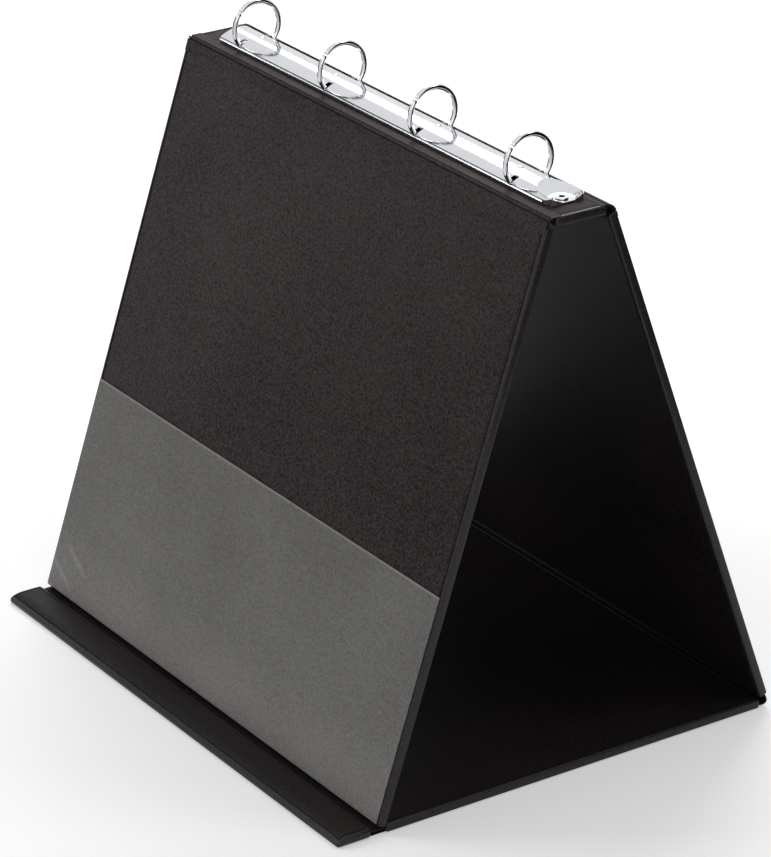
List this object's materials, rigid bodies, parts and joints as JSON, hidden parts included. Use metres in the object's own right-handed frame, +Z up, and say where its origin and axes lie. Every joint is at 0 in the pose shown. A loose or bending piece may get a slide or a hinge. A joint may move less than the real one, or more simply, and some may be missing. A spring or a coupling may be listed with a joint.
{
  "type": "display ring binder",
  "caption": "Tabletop display ring binder that stands as a tent, with a ring mechanism along the top, a clear pocket on the sloping front and a narrow ledge at its foot.",
  "frame": {"origin": "middle of the base's underside", "axes": "+Z up, the sloping front panel with the pocket faces -Y, +X along the spine towards the mechanism's round pressing"},
  "size_m": [0.32, 0.2628, 0.3232],
  "materials": {
    "lining": "fine-grained PVC lining",
    "cover_foil": "fine-grained PVC foil",
    "board": "raw grey board",
    "pocket_film": "clear hazy PVC film",
    "chrome": "polished"
  },
  "bodies": {
    "base": {"base_lining": "lining", "base_board": "board", "base_cover_foil": "cover_foil", "ledge_fold": "cover_foil", "rear_fold": "cover_foil"},
    "ledge": {"ledge_lining": "lining", "ledge_board": "board", "ledge_cover_foil": "cover_foil"},
    "back": {"back_lining": "lining", "back_board": "board", "back_cover_foil": "cover_foil"},
    "spine": {"spine_lining": "lining", "spine_board": "board", "spine_cover_foil": "cover_foil", "upper_back_fold": "cover_foil", "upper_front_fold": "cover_foil", "ring_plate": "chrome", "rivet_near": "chrome", "rivet_far": "chrome"},
    "front": {"front_lining": "lining", "front_board": "board", "front_cover_foil": "cover_foil", "front_pocket": "pocket_film"},
    "rings_front": {"blade_front": "chrome", "ring_front_1": "chrome", "ring_front_2": "chrome", "ring_front_3": "chrome", "ring_front_4": "chrome"},
    "rings_back": {"blade_back": "chrome", "ring_back_1": "chrome", "ring_back_2": "chrome", "ring_back_3": "chrome", "ring_back_4": "chrome"}
  },
  "joints": [
    {"name": "ledge_hinge", "type": "hinge", "parent": "base", "child": "ledge", "pos_m": [0, -0.12317, 0.0025], "axis": [-1, 0, 0], "range_deg": [0, 90], "deforming": ["ledge_fold"]},
    {"name": "rear_hinge", "type": "hinge", "parent": "base", "child": "back", "pos_m": [0, 0.11997, 0.0016], "axis": [-1, 0, 0], "range_deg": [0, 109], "deforming": ["rear_fold"]},
    {"name": "upper_back_hinge", "type": "hinge", "parent": "back", "child": "spine", "pos_m": [0, 0.01314, 0.2954], "axis": [-1, 0, 0], "range_deg": [0, 156], "deforming": ["upper_back_fold"]},
    {"name": "upper_front_hinge", "type": "hinge", "parent": "spine", "child": "front", "pos_m": [0, -0.02259, 0.2954], "axis": [-1, 0, 0], "range_deg": [0, 158], "deforming": ["upper_front_fold"]},
    {"name": "rings_open", "type": "hinge", "parent": "spine", "child": "rings_front", "pos_m": [0, -0.01364, 0.29875], "axis": [-1, 0, 0], "range_deg": [-12, 0]},
    {"name": "rings_open_back", "type": "hinge", "parent": "spine", "child": "rings_back", "pos_m": [0, 0.00616, 0.29875], "axis": [-1, 0, 0], "range_deg": [0, 12]}
  ],
  "couplings": [
    {"joint": "rings_open_back", "follows": "rings_open", "ratio": -1}
  ]
}
